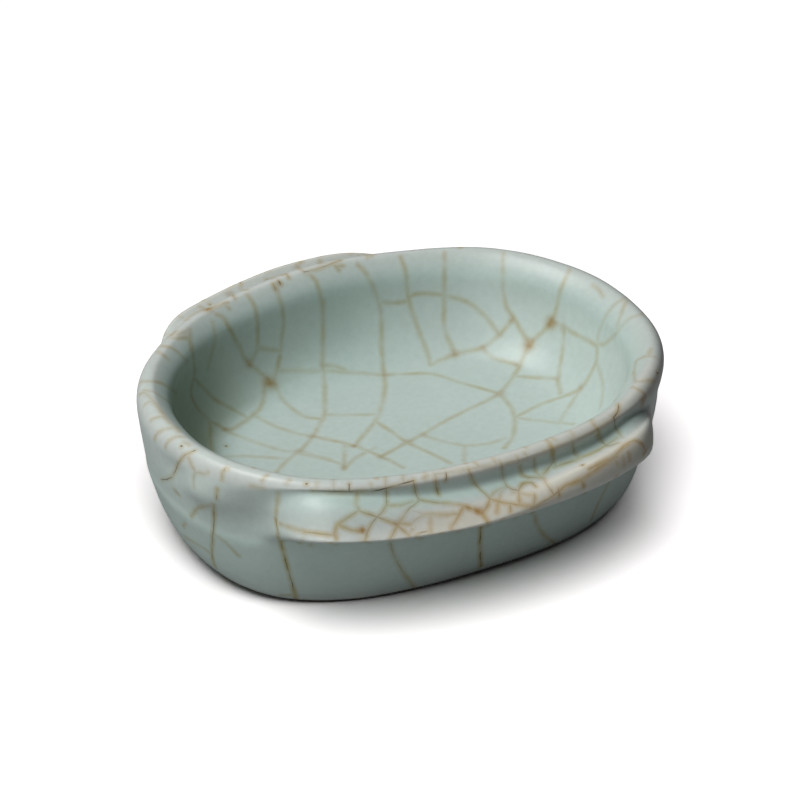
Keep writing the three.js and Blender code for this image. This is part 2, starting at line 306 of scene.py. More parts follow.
# The section at one angle, from the middle of the hollow over the lip to the foot, and then back
# behind the glaze: radius, height and thinness of each row
def coatSection(angle):
    traits = traitsAt(angle)
    inner, outer = innerRows(traits), outerRows(traits)
    degrees = traits["degrees"]

    def run(rows, oval, inset, marks):
        return [(*placeRow(angle, degrees, point, oval, inset, marks), point["thin"]) for point in rows]

    face = run(inner, dish["floor"], 0, []) + run(outer, dish["foot"], 0, handMarks)
    hidden = run(inner[0:6:3] + inner[6:], dish["floor"], dish["glaze"], [])
    hidden += run(outer, dish["foot"], dish["glaze"], handMarks)
    return face, [(radius, height, behind) for radius, height, thin in hidden[::-1]]


def polarPlace(radius, angle, height):
    return Vector((radius * math.cos(angle), radius * math.sin(angle), height)) * mm


# A round shape spun from the radius and height of each row. Its corners know their row, and carry
# the other measures that are named.
def spunShape(rows, closed, steps, measures=()):
    shape = bmesh.new()
    rowLayer = shape.verts.layers.int.new("row")
    for name in measures:
        shape.verts.layers.float.new(name)
    corners = []
    for number, (radius, height) in enumerate(rows):
        corners.append(shape.verts.new((max(radius, 0) * mm, 0, height * mm)))
        corners[-1][rowLayer] = number
    for a, b in zip(corners, corners[1:] + corners[:1] if closed else corners[1:]):
        shape.edges.new((a, b))
    bmesh.ops.spin(shape, geom=shape.verts[:] + shape.edges[:], cent=(0, 0, 0), axis=(0, 0, 1),
                   angle=2 * math.pi, steps=steps, use_merge=True, use_duplicate=False)
    return shape, rowLayer


mergeDistance = 0.001  # millimetres


# A smooth piece from a bmesh, closed at its poles and with its subdivision applied
def finishedPiece(name, shape, levels):
    bmesh.ops.remove_doubles(shape, verts=shape.verts, dist=mergeDistance * mm)
    bmesh.ops.recalc_face_normals(shape, faces=shape.faces)
    mesh = bpy.data.meshes.new(name)
    shape.to_mesh(mesh)
    shape.free()
    piece = bpy.data.objects.new(name, mesh)
    scene.collection.objects.link(piece)
    subdivision = piece.modifiers.new("smooth", "SUBSURF")
    subdivision.levels = levels
    subdivision.render_levels = levels
    bpy.context.view_layer.update()
    smooth = bpy.data.meshes.new_from_object(piece.evaluated_get(bpy.context.evaluated_depsgraph_get()))
    piece.modifiers.clear()
    piece.data = smooth
    smooth.name = name
    smooth.shade_smooth()
    print(name, "has", len(smooth.polygons), "faces")
    return piece


# Waver and ripple are heights in millimetres, each with the size of its patches
coat = {"stepsRound": 92, "levels": 2, "waver": 0.10, "waverSize": 13, "ripple": 0.03, "rippleSize": 4.5}


def makeCoat():
    face, hidden = coatSection(0)
    rows = [(radius, height) for radius, height, thin in face + hidden]
    shape, rowLayer = spunShape(rows, False, coat["stepsRound"], ["thin"])
    thinLayer = shape.verts.layers.float["thin"]
    stepAngle = 2 * math.pi / coat["stepsRound"]
    sections = {}
    for corner in shape.verts:
        station = round(math.atan2(corner.co.y, corner.co.x) / stepAngle) % coat["stepsRound"]
        if station not in sections:
            face, hidden = coatSection(station * stepAngle)
            sections[station] = face + hidden
        radius, height, corner[thinLayer] = sections[station][corner[rowLayer]]
        corner.co = polarPlace(radius, station * stepAngle, height)
    return finishedPiece("glazeCoat", shape, coat["levels"])


# The glaze is a little uneven, as it is where it was poured over a pressed wall
def waver(mesh):
    outward = [corner.normal.copy() for corner in mesh.vertices]
    for corner, normal in zip(mesh.vertices, outward):
        place = corner.co / mm
        slow = noise.noise(place / coat["waverSize"])
        quick = noise.noise(place / coat["rippleSize"] + Vector((7, 3, 5)))
        corner.co += normal * (slow * coat["waver"] + quick * coat["ripple"]) * mm
    mesh.update()


glazeCoat = makeCoat()
waver(glazeCoat.data)


# Foot ring of bare clay under the glaze's lower edge, and the glaze pooled inside it.
# Each row is how far it lies in from the foot's oval, and its height.
baseFace = 3.9
underside = {
    "steps": 128,
    "ring": [
        (0.75, 4.7), (6.7, 4.7), (6.7, 2.5), (6.7, 0.7), (6.45, 0.15), (5.9, 0), (3.5, 0), (1.3, 0),
        (0.9, 0.1), (0.75, 0.45), (0.75, 1.2), (0.75, 3),
    ],
    "base": [
        (60, baseFace), (30, baseFace), (24, baseFace), (18, baseFace), (13, baseFace), (10, 3.85),
        (8.4, 3.6), (7.4, 3.1), (6.95, 2.5), (6.8, 2.3), (6.8, 3), (6.8, 4.6), (14, 4.65), (60, 4.65),
    ],
}


def turnedPiece(name, rows, closed, levels):
    halfLength = dish["foot"]["length"] / 2
    points = [(halfLength - inset, height) for inset, height in rows]
    shape, rowLayer = spunShape(points, closed, underside["steps"])
    for corner in shape.verts:
        angle = math.atan2(corner.co.y, corner.co.x)
        inset, height = rows[corner[rowLayer]]
        corner.co = polarPlace(max(ovalRadius(dish["foot"], angle) - inset, 0), angle, height)
    return finishedPiece(name, shape, levels)


footRing = turnedPiece("footRing", underside["ring"], True, 1)
baseGlaze = turnedPiece("baseGlaze", underside["base"], False, 2)


# Crackle. Each crack is a path of short straight pieces lying on the glaze.
# The paths that the photograph shows are given in its pixels and cast onto the glaze from the camera.
# Of each kind, how deep the gold stain beside the crack is, and how dark its open heart.
crackKinds = {
    "hollow": (0.4, 0.025), "pale": (0.28, 0.01), "lip": (0.44, 0.36), "lipFine": (0.36, 0.07),
    "rim": (0.24, 0.06), "ear": (0.54, 0.14), "earFine": (0.38, 0.06), "wall": (0.68, 0.3),
    "wallSoft": (0.44, 0.12), "pit": (0.5, 0.95),
}
crackPaths = {}
crackPaths["hollow"] = [
    [(323, 301), (323, 330), (323, 345.5), (322.5, 363.5), (324.5, 381.5), (324.5, 415), (320, 423),
     (313, 436.5), (299.5, 451), (288.5, 459), (276, 472.5)],
    [(304, 273), (310.5, 275), (316, 281), (319.5, 291.5), (322, 305), (323, 318.5)],
    [(276, 289.5), (279, 295.5), (282, 307.5), (284, 321), (282, 337), (281, 350)],
    [(280, 356), (277.5, 367.5), (275.5, 376.5), (273.5, 382)],
    [(247, 295), (252, 301), (256, 311.5), (257.5, 323.5), (258, 337), (257.5, 350)],
    [(257, 345.5), (257, 350.5), (253, 358.5), (249, 363.5)],
    [(217, 314.5), (222.5, 317), (230.5, 330.5), (241, 350)],
    [(240, 346.5), (242.5, 354.5), (249, 363.5), (257, 370), (266, 377.5), (270.5, 382)],
    [(257.5, 347.5), (269.5, 349.5), (280.5, 350.5)], [(190, 329), (190, 340), (191, 350)],
    [(192, 345.5), (192.5, 352), (194.5, 368.5), (193.5, 379), (191, 390.5), (193.5, 402),
     (201.5, 413.5), (209.5, 421.5), (210.5, 439.5), (214, 455)],
    [(209.5, 421.5), (218, 425), (228, 430.5), (237.5, 426), (248.5, 418.5), (260.5, 407.5),
     (264, 394.5), (265, 384), (270.5, 382)],
    [(194, 379), (201.5, 385.5), (210.5, 395.5), (218, 401.5), (230, 407.5), (248.5, 418.5)],
    [(275, 383), (277.5, 389.5), (282.5, 399.5), (294, 410), (306, 417), (321, 419)],
    [(358, 264.5), (368, 276), (377.5, 298.5), (381.5, 318), (381.5, 347.5), (384, 375), (385, 389.5),
     (379.5, 412.5), (374.5, 422), (356.5, 443.5)],
    [(400.5, 256.5), (405.5, 272.5), (408.5, 298.5), (416.5, 324.5), (426.5, 350.5), (430.5, 365)],
    [(444.5, 253), (444.5, 272.5), (444.5, 295.5), (444.5, 328), (455, 354)],
    [(381.5, 302.5), (395.5, 303), (408.5, 301)],
    [(408.5, 297), (420, 293.5), (444.5, 295.5), (467, 302), (485, 316.5), (499.5, 334.5)],
    [(430.5, 365), (455, 354), (483.5, 347.5), (499.5, 334.5), (513.5, 318)],
    [(503, 253), (503, 282.5), (506, 305), (513.5, 318), (529, 344)],
    [(569.5, 269.5), (560, 292), (551.5, 321.5), (529, 345.5), (517.5, 370), (499.5, 393), (475.5, 406),
     (449, 419), (421.5, 435), (407, 442.5), (381, 456.5)],
    [(551.5, 321.5), (564.5, 328), (597, 345.5)],
    [(564.5, 328), (561.5, 357), (558, 378), (560.5, 393)], [(517.5, 376.5), (540.5, 378), (558, 378)],
    [(483.5, 347.5), (491.5, 357), (517.5, 365)],
    [(383.5, 375), (407, 374), (433, 374), (462, 383), (498, 393)],
    [(499.5, 393), (511, 407.5), (514.5, 417.5), (513.5, 435), (504.5, 448)],
    [(514.5, 417.5), (540.5, 404.5), (560, 397.5), (581, 388), (592.5, 370), (596.5, 360.5),
     (597, 345.5)], [(312.5, 436), (332, 440.5), (353.5, 445.5), (381, 456.5), (403.5, 467.5)],
    [(376.5, 422), (392.5, 432), (407, 442.5), (429, 452.5), (451, 463.5)], [(345, 445), (344, 469.5)],
    [(344, 469.5), (353.5, 459.5), (364.5, 453)],
]
crackPaths["pale"] = [
    [(277, 371), (299.5, 370.5), (322.5, 371), (353.5, 372.5), (383.5, 375)],
    [(322.5, 365), (334, 366), (345, 370)], [(324, 414.5), (348.5, 415), (374.5, 414.5)],
    [(255, 415.5), (273.5, 425.5), (297, 433.5), (313, 436.5), (330, 439)],
    [(230, 432.5), (248, 439.5), (268.5, 446.5), (286.5, 451.5), (299.5, 451)],
    [(299.5, 451), (315, 455.5), (330, 459.5)], [(218, 457), (244, 456), (269.5, 457.5), (288.5, 459)],
    [(212.5, 322.5), (214.5, 332.5), (214.5, 343), (211.5, 354.5), (208, 368.5)],
    [(514.5, 417.5), (537, 420.5), (560, 423), (573, 424)], [(581, 388), (569.5, 406), (560, 422)],
    [(596, 362), (601.5, 377), (603, 390), (600.5, 406.5)],
    [(597, 344.5), (599, 332), (604.5, 318.5), (615, 304), (627, 298)],
    [(597, 344.5), (604.5, 344), (616.5, 333.5), (627, 320), (642, 314.5)],
    [(617, 327.5), (621.5, 312.5), (627, 300.5)],
    [(421.5, 435), (442.5, 441), (465.5, 445.5), (488.5, 443.5), (504.5, 438.5)],
    [(465, 445.5), (464, 461)], [(294.5, 453), (319, 457.5), (344, 464.5)],
    [(364.5, 453), (374.5, 448)],
]
crackPaths["lip"] = [
    [(155.5, 479.5), (166.5, 479.5), (172.5, 477), (175.5, 470.5), (179.5, 461.5), (184.5, 455.5),
     (195, 450.5)], [(217, 489), (216.5, 499)],
    [(312.5, 490.5), (338, 491.5), (372, 491), (389, 487.5), (403.5, 483.5), (413.5, 480.5)],
    [(349, 478), (349.5, 490.5)], [(446, 473), (446, 480)],
    [(618.5, 403.5), (618, 411), (613.5, 418), (615, 423), (616.5, 429), (621, 436.5)],
    [(229, 291.5), (232.5, 295.5), (235, 298.5)],
    [(304, 272), (314.5, 270), (325.5, 266), (336, 262), (345, 258)],
    [(274.5, 276), (278.5, 281), (280.5, 284)], [(273, 284), (276, 289.5)],
    [(224, 470.5), (225.5, 468), (228, 468.5)], [(424.5, 477.5), (426.5, 475.5)],
]
crackPaths["lipFine"] = [
    [(144.5, 392.5), (153, 400.5), (159.5, 409), (165.5, 417.5), (170.5, 424), (179.5, 432)],
    [(139.5, 394.5), (144.5, 392.5)], [(141, 382), (151, 381.5), (161.5, 383), (169, 388), (177, 393)],
    [(143.5, 390.5), (154, 392), (161.5, 397), (169, 402)], [(144, 405.5), (147.5, 402.5), (153, 401)],
    [(151, 420), (156.5, 417.5), (163, 416.5), (166, 419)],
    [(154.5, 439.5), (157.5, 433), (165.5, 429), (177, 427.5)],
    [(165.5, 447), (169, 441), (175.5, 437), (183.5, 437)], [(183.5, 442), (190, 445)],
    [(188, 457), (192, 465.5), (195.5, 471.5), (193.5, 479.5), (194, 487)],
    [(196.5, 472.5), (204, 473.5), (208, 472.5)],
    [(158.5, 351.5), (159, 353), (165.5, 357.5), (168, 359.5)],
    [(161, 346), (172, 348), (182, 356), (186.5, 360.5)], [(170, 335), (172.5, 333.5), (176.5, 331)],
    [(173, 338), (186, 337.5)], [(222.5, 471.5), (222, 479.5)], [(262, 481), (267, 475.5)],
    [(250.5, 486), (263.5, 488)], [(286, 482.5), (289, 480.5)], [(316, 489.5), (319, 478)],
    [(175.5, 490), (179.5, 495.5)], [(317.5, 478), (316.5, 489)], [(333.5, 479), (334, 490.5)],
    [(369.5, 477.5), (372, 490.5)], [(385.5, 476.5), (385.5, 488)], [(402.5, 474.5), (404, 483.5)],
    [(425.5, 473.5), (426, 478)], [(435, 474), (435.5, 480.5)], [(493.5, 459), (495.5, 464)],
    [(517.5, 457.5), (518.5, 461.5)], [(525, 454), (527.5, 458)], [(546, 440), (551.5, 447)],
    [(475, 462.5), (478.5, 466)], [(546, 439.5), (549, 442.5), (551, 448)],
    [(570, 431.5), (573, 434.5), (574.5, 439.5)], [(589.5, 419.5), (592.5, 423), (595.5, 429)],
    [(636, 361), (645, 356.5), (654.5, 357)], [(648.5, 356.5), (651, 348.5)],
    [(636, 382), (645, 381), (655.5, 380.5), (661.5, 377)], [(632, 387), (642, 391.5), (645.5, 396)],
    [(636, 362), (633.5, 372.5), (636, 382)], [(592.5, 285.5), (597, 287.5), (603, 296)],
    [(177, 334.5), (190, 329)], [(177, 338.5), (189, 338)], [(335, 265.5), (339, 270)],
    [(225.5, 305), (229.5, 308.5)], [(336, 267), (343, 265.5)],
]
crackPaths["rim"] = [
    [(435, 474), (449.5, 472), (466.5, 469.5), (488.5, 466), (505.5, 462.5), (520, 460), (534.5, 455),
     (551.5, 448.5), (573, 440.5), (595, 431)],
    [(576, 441), (586.5, 434.5), (597, 429), (606, 423), (613.5, 418)],
]
crackPaths["ear"] = [
    [(357, 491.5), (356.5, 505), (360, 511), (377, 517), (389, 521.5), (397.5, 525.5)],
    [(386, 488.5), (386.5, 505), (383, 511), (377, 517)],
    [(377, 517), (371.5, 524), (367.5, 532.5), (365, 541)],
    [(414, 482), (415.5, 492.5), (419.5, 500), (409.5, 508.5), (401, 519.5), (397.5, 525.5),
     (390.5, 539)], [(419.5, 500), (435, 502.5), (460.5, 505), (477.5, 511), (483.5, 514.5)],
    [(435.5, 480.5), (436.5, 486.5), (438.5, 494)],
    [(469, 469.5), (472.5, 479.5), (478.5, 488), (489.5, 499), (485, 509.5), (482.5, 513.5),
     (488, 522)], [(489.5, 499), (508, 503.5), (534.5, 507)],
    [(501, 463.5), (503, 475.5), (506.5, 486.5), (518.5, 490.5), (522.5, 484), (532, 482.5),
     (536, 486.5)], [(520, 466), (522.5, 475.5), (528.5, 477.5), (543, 478), (545.5, 482), (554, 495)],
    [(534.5, 459), (535.5, 471), (543, 478)], [(551.5, 446.5), (554, 460), (543, 474.5)],
    [(573, 442), (574.5, 451.5), (579.5, 459), (566, 463.5), (554, 467.5)],
    [(597.5, 434.5), (602.5, 442), (607, 446), (618, 443)],
    [(534.5, 507), (554, 495), (566, 485.5), (583, 478.5), (604.5, 464), (617, 456.5)],
    [(589.5, 469.5), (603, 462), (615, 456), (624, 445.5), (633, 440.5), (642, 444), (645.5, 451.5),
     (643.5, 454.5)], [(556.5, 466.5), (577.5, 458.5), (589.5, 454.5), (606, 445.5), (616.5, 438)],
    [(551, 448.5), (553.5, 460.5), (556.5, 466.5)], [(572, 441), (573.5, 450), (577.5, 457.5)],
    [(597.5, 429), (600.5, 438), (606, 445.5)], [(338, 524), (350.5, 530), (362.5, 531)],
    [(338, 524), (348, 517.5), (357.5, 511)], [(338, 524), (333.5, 534), (336, 539)],
    [(280, 524), (299.5, 530.5), (316.5, 533.5), (332, 535)], [(401, 523), (411, 524.5)],
    [(397.5, 525.5), (408.5, 535)], [(463, 506), (459.5, 514.5), (451.5, 528)],
    [(498, 502.5), (497, 512)], [(510, 505), (510.5, 511.5)], [(518.5, 490.5), (519.5, 503.5)],
    [(534.5, 495), (534, 506)], [(581.5, 479.5), (586.5, 492.5)], [(558.5, 489), (559, 495.5)],
    [(191.5, 314.5), (196, 315), (200, 311), (207.5, 309.5), (214.5, 307), (222.5, 303.5),
     (227, 302.5)], [(171, 335), (176, 331.5)], [(266.5, 277), (271, 282)],
    [(282, 270), (288.5, 277.5)], [(294, 266), (298.5, 269), (304, 272)], [(327, 259), (332, 263.5)],
]
crackPaths["earFine"] = [
    [(386.5, 505.5), (401, 505), (413.5, 501)],
    [(413.5, 511), (423, 514), (415.5, 519.5), (411, 524.5)], [(430.5, 517), (430.5, 531.5)],
    [(447, 514.5), (460.5, 513.5)], [(508, 486.5), (500.5, 492.5), (499.5, 500)],
    [(554, 495), (558.5, 489)], [(512.5, 492.5), (525, 494), (534.5, 495)],
    [(489.5, 499), (493.5, 492.5), (506.5, 486.5)], [(423, 514), (447, 514.5)],
    [(615, 460.5), (618, 464)], [(622.5, 457.5), (624, 465)], [(628.5, 453), (630, 459.5)],
    [(651, 433.5), (651.5, 441), (647, 450)], [(199.5, 306.5), (207.5, 311)],
    [(239, 289.5), (242.5, 295)], [(249, 285), (256, 289)], [(311.5, 263.5), (314.5, 267)],
    [(180, 321), (185, 325.5)],
]
crackPaths["wall"] = [
    [(214, 504.5), (214, 519.5), (213, 535), (212, 553), (214, 563), (217, 571.5)],
    [(276, 518.5), (277, 527.5), (282, 547), (286, 563), (290.5, 577.5), (296, 598.5)],
    [(481, 521), (480, 546), (481, 567)],
]
crackPaths["wallSoft"] = [
    [(214, 505.5), (199, 507.5), (191, 516.5), (186, 523.5), (183, 526.5)],
    [(214, 534), (224.5, 541.5), (238.5, 555.5)], [(185, 537), (199, 545), (211.5, 554)],
    [(278.5, 493.5), (277, 505.5), (276, 518.5)], [(280, 595.5), (296, 594.5)],
    [(173.5, 489.5), (179.5, 495.5)], [(390.5, 543), (394, 555.5), (403.5, 572.5), (414.5, 587.5)],
    [(535, 510), (536, 522), (543, 534), (555, 543.5)], [(608.5, 483), (597.5, 505), (591.5, 519.5)],
]

# Stains where cracks meet: pixel, radius in millimetres and depth of colour
stains = [
    (529, 345, 1.5, 0.92), (551, 323, 1.5, 0.88), (269.5, 383, 1.6, 0.85), (249, 363.5, 1.1, 0.65),
    (512, 319, 0.9, 0.5), (500, 394, 1.1, 0.52), (226, 430, 1.1, 0.55), (312.5, 436.5, 0.9, 0.5),
    (299, 451, 1.0, 0.4), (455, 354, 1.0, 0.55), (353.5, 446, 0.8, 0.7), (407, 442, 1.0, 0.5),
    (563, 328, 1.0, 0.4), (323, 365, 0.9, 0.3), (384, 375, 0.9, 0.4), (362, 530, 0.8, 1.0),
    (478.5, 511, 0.9, 0.85), (643, 402, 1.3, 0.8), (207, 309.5, 1.2, 0.65), (279, 284, 0.9, 0.4),
    (580.5, 388, 1.0, 0.45), (518, 365, 0.9, 0.35), (276, 289, 0.8, 0.4), (467, 508, 0.8, 0.5),
    (230, 294, 0.9, 0.5), (396, 524, 0.7, 0.5), (336, 534, 0.7, 0.4), (344, 467, 0.7, 0.4),
    (483, 348, 0.8, 0.35), (558, 378, 0.8, 0.35), (424, 435, 0.8, 0.35), (380, 457, 0.8, 0.35),
    (273, 278, 0.8, 0.5), (297, 267, 0.8, 0.45), (500, 334, 0.8, 0.3),
]
# Pinholes in the glaze, by pixel
pits = [(582, 465), (181, 446), (225.5, 446), (657, 373), (306, 484)]


# How cracks are laid on a mesh, in millimetres but for the path's points, in pixels. A longer jump
# than the longest piece is from one side of an edge to the other. Each face knows its nearest pieces.
drawing = {
    "pixelSpacing": 6, "shortest": 0.05, "longest": 4.5, "nearest": 5, "reach": 2.2, "facing": 0.15,
    "hiddenBy": 0.6, "far": 9.0,
}


# The faces that can be seen, so not those towards the clay
def faceSide(mesh):
    if "thin" not in mesh.attributes:
        return list(range(len(mesh.polygons)))
    thin = mesh.attributes["thin"].data
    return [face.index for face in mesh.polygons
            if min(thin[corner].value for corner in face.vertices) > behindLimit]


def surfaceTree(piece):
    mesh = piece.data
    places = [corner.co for corner in mesh.vertices]
    return BVHTree.FromPolygons(places, [mesh.polygons[index].vertices[:] for index in faceSide(mesh)])


coatTree = surfaceTree(glazeCoat)
eye = camera.location.copy()
looking = camera.matrix_world.to_3x3()


# The point of the glaze that a pixel of the photograph shows
def castPixel(across, down):
    focal = view["lens"] / view["sensor"] * view["pictureSize"]
    middle = view["pictureSize"] / 2
    ray = looking @ Vector(((across - middle) / focal, (middle - down) / focal, -1)).normalized()
    return coatTree.ray_cast(eye, ray)[:2]


# A smooth line through the points of a path, with a point every so many pixels
def smoothPath(points, spacing):
    points = [Vector(point) for point in points]
    points = [2 * points[0] - points[1]] + points + [2 * points[-1] - points[-2]]
    line = []
    for a, b, c, d in zip(points, points[1:], points[2:], points[3:]):
        count = max(1, round((c - b).length / spacing))
        for number in range(count):
            t = number / count
            line.append(0.5 * (2 * b + (c - a) * t + (2 * a - 5 * b + 4 * c - d) * t ** 2
                               + (3 * b - a - 3 * c + d) * t ** 3))
    return line + [points[-2]]


# The pieces of a line of points and normals: both ends, the normal between them, gold and heart
def linePieces(line, gold, heart):
    found = []
    for (a, faceA), (b, faceB) in zip(line, line[1:]):
        if a is None or b is None:
            continue
        if drawing["shortest"] * mm < (b - a).length < drawing["longest"] * mm:
            found.append((a, b, (faceA + faceB).normalized(), gold, heart))
    return found


def tracedPieces():
    found = []
    for kind, paths in crackPaths.items():
        for path in paths:
            line = [castPixel(*point) for point in smoothPath(path, drawing["pixelSpacing"])]
            found += linePieces(line, *crackKinds[kind])
    for across, down in pits:
        found += linePieces([castPixel(across, down), castPixel(across + 1, down)], *crackKinds["pit"])
    return found


# Cracks that the photograph doesn't show: a plane of cells that split again and again, laid round the
# dish from the foot of the hollow's wall over the lip to the foot. The plane is so many degrees round,
# and millimetres along the section from the lip's crest. Cells are in square millimetres.
unseen = {
    "seed": 11, "round": 340, "inside": -22, "outside": 46, "wallCell": 190, "lipCell": 55,
    "lipMiddle": 8, "lipSpread": 11, "cellRange": (0.7, 1.7), "slant": 0.5, "offCentre": 0.15,
    "bow": 0.08, "step": 2, "gold": (0.2, 0.5), "heart": 0.45,
    "baseCell": 170, "baseInset": 7, "baseGold": (0.2, 0.45), "baseHeart": 0.05,
}


def swing(luck, name):
    return luck.uniform(-unseen[name], unseen[name])


# Cuts a cell across its length, and its halves again, until they are small enough
def splitCells(cell, cellSize, luck, found):
    area = abs(sum(a[0] * b[1] - b[0] * a[1] for a, b in zip(cell, cell[1:] + cell[:1]))) / 2
    middle = [sum(corner[axis] for corner in cell) / len(cell) for axis in (0, 1)]
    if area < cellSize(middle) * luck.uniform(*unseen["cellRange"]):
        return
    spread = [[corner[0] - middle[0], corner[1] - middle[1]] for corner in cell]
    slant = 0.5 * math.atan2(2 * sum(x * y for x, y in spread), sum(x * x - y * y for x, y in spread))
    slant += math.pi / 2 + swing(luck, "slant")
    across = (-math.sin(slant), math.cos(slant))
    shift = swing(luck, "offCentre") * math.sqrt(area)
    sides = [x * across[0] + y * across[1] - shift for x, y in spread]
    halves, ends = ([], []), []
    for number, corner in enumerate(cell):
        after = (number + 1) % len(cell)
        halves[sides[number] > 0].append(corner)
        if (sides[number] > 0) != (sides[after] > 0):
            t = sides[number] / (sides[number] - sides[after])
            cut = tuple(mix(corner[axis], cell[after][axis], t) for axis in (0, 1))
            ends.append(cut)
            for half in halves:
                half.append(cut)
    if len(ends) != 2:
        return
    found.append(ends)
    for half in halves:
        splitCells(half, cellSize, luck, found)


# The point of the coat at an angle and so many millimetres from the lip's crest, inwards if negative
def pointOnCoat(angle, along):
    face = coatSection(angle)[0]
    crest = len(innerRows(traitsAt(angle)))
    line = [Vector((radius, height)) for radius, height, thin in face]
    line = line[crest:] if along > 0 else line[crest::-1]
    goal = abs(along)
    if along > 0:
        goal *= sum((b - a).length for a, b in zip(line, line[1:])) / unseen["outside"]
    for a, b in zip(line, line[1:]):
        length = (b - a).length
        if goal <= length:
            place = a.lerp(b, goal / length)
            break
        goal -= length
    else:
        place = line[-1]
    return coatTree.find_nearest(polarPlace(place.x, angle, place.y))[:2]


# Whether the photograph shows a point, which has its cracks from the traced paths then
def seenByCamera(point):
    ray = point - eye
    hit = coatTree.ray_cast(eye, ray.normalized())
    return hit[0] is not None and hit[3] > ray.length - drawing["hiddenBy"] * mm


# Points along a cut, bowed a little to one side
def bowedLine(a, b, bow):
    count = max(2, round(math.dist(a, b) / unseen["step"]))
    for number in range(count + 1):
        t = number / count
        lift = 4 * bow * t * (1 - t)
        yield mix(a[0], b[0], t) - lift * (b[1] - a[1]), mix(a[1], b[1], t) + lift * (b[0] - a[0])


def hiddenPieces():
    luck = random.Random(unseen["seed"])
    low, high, half = unseen["inside"], unseen["outside"], unseen["round"] / 2

    def cellSize(middle):
        nearLip = bell(middle[1] - unseen["lipMiddle"], unseen["lipSpread"])
        return mix(unseen["wallCell"], unseen["lipCell"], nearLip)

    cuts, found = [], []
    splitCells([(-half, low), (half, low), (half, high), (-half, high)], cellSize, luck, cuts)
    for a, b in cuts:
        bow, gold = swing(luck, "bow"), luck.uniform(*unseen["gold"])
        heart = luck.uniform(0, unseen["heart"]) ** 2
        line = [pointOnCoat(math.pi * x / half, y) for x, y in bowedLine(a, b, bow)]
        for piece in linePieces(line, gold, heart):
            if not seenByCamera((piece[0] + piece[1]) / 2):
                found.append(piece)
    return found


# Cracks in the glaze under the base, on its own plane
def basePieces():
    luck = random.Random(unseen["seed"] + 1)
    x, y = (dish["foot"][side] / 2 - unseen["baseInset"] for side in ("length", "width"))
    cuts, found = [], []
    splitCells([(-x, -y), (x, -y), (x, y), (-x, y)], lambda middle: unseen["baseCell"], luck, cuts)
    for a, b in cuts:
        bow, gold = swing(luck, "bow"), luck.uniform(*unseen["baseGold"])
        line = [(Vector((*place, baseFace)) * mm, Vector((0, 0, -1))) for place in bowedLine(a, b, bow)]
        found += linePieces(line, gold, unseen["baseHeart"])
    return found


def readVectors(items, name):
    values = np.empty(len(items) * 3)
    items.foreach_get(name, values)
    return values.reshape(-1, 3)


def writeVectors(mesh, name, domain, values):
    mesh.attributes.new(name, "FLOAT_VECTOR", domain).data.foreach_set("vector", values.ravel())


# Writes beside each corner of the mesh where it lies to the nearest pieces of crack: across the piece
# and along it in millimetres, and half the piece's length. Those are straight-line measures, so the
# shader draws the cracks sharp however wide the faces are. Each face has their gold and heart.
def writeCracks(piece, cracks):
    mesh = piece.data
    faceCount = len(mesh.polygons)
    centres, normals = readVectors(mesh.polygons, "center"), readVectors(mesh.polygons, "normal")
    seen = faceSide(mesh)
    tree = kdtree.KDTree(len(seen))
    for number in seen:
        tree.insert(centres[number], number)
    tree.balance()
    starts, ends, facing = (np.array([crack[item] for crack in cracks]) for item in (0, 1, 2))
    looks = np.array([crack[3:] for crack in cracks])
    middles, halves = (starts + ends) / 2, np.linalg.norm(ends - starts, axis=1) / 2
    along = (ends - starts) / (2 * halves[:, None])
    best = np.full((drawing["nearest"], faceCount), drawing["far"])
    chosen = np.full((drawing["nearest"], faceCount), -1)
    for number in range(len(cracks)):
        close = tree.find_range(middles[number], halves[number] + drawing["reach"] * mm)
        faces = np.array([index for place, index, distance in close], dtype=int)
        if len(faces):
            faces = faces[normals[faces] @ facing[number] > drawing["facing"]]
        offset = centres[faces] - middles[number]
        lengthways = offset @ along[number]
        past = np.maximum(np.abs(lengthways) - halves[number], 0)
        aside = np.linalg.norm(offset - lengthways[:, None] * along[number], axis=1)
        distance = np.hypot(aside, past)
        index = np.full(len(faces), number)
        for slot in range(drawing["nearest"]):
            closer = distance < best[slot, faces]
            heldDistance, heldIndex = best[slot, faces], chosen[slot, faces]
            best[slot, faces] = np.where(closer, distance, heldDistance)
            chosen[slot, faces] = np.where(closer, index, heldIndex)
            distance = np.where(closer, heldDistance, distance)
            index = np.where(closer, heldIndex, index)
    cornerFace = np.repeat(np.arange(faceCount), [face.loop_total for face in mesh.polygons])
    vertexOf = np.empty(len(mesh.loops), dtype=np.int32)
    mesh.loops.foreach_get("vertex_index", vertexOf)
    places = readVectors(mesh.vertices, "co")[vertexOf]
    for slot in range(drawing["nearest"]):
        used = chosen[slot] >= 0
        crack = np.where(used, chosen[slot], 0)
        side = np.cross(normals, along[crack])
        side /= np.maximum(np.linalg.norm(side, axis=1), 1e-9)[:, None]
        offset = places - middles[crack][cornerFace]
        across = np.einsum("ij,ij->i", offset, side[cornerFace]) / mm
        lengthways = np.einsum("ij,ij->i", offset, along[crack][cornerFace]) / mm
        across[~used[cornerFace]] = drawing["far"]
        halfLength = halves[crack][cornerFace] / mm
        look = np.zeros((faceCount, 3))
        look[used, :2] = looks[chosen[slot][used]]
        writeVectors(mesh, f"crack{slot}", "CORNER", np.stack([across, lengthways, halfLength], axis=1))
        writeVectors(mesh, f"crackLook{slot}", "FACE", look)
    print(piece.name, "carries", len(cracks), "pieces of crack")


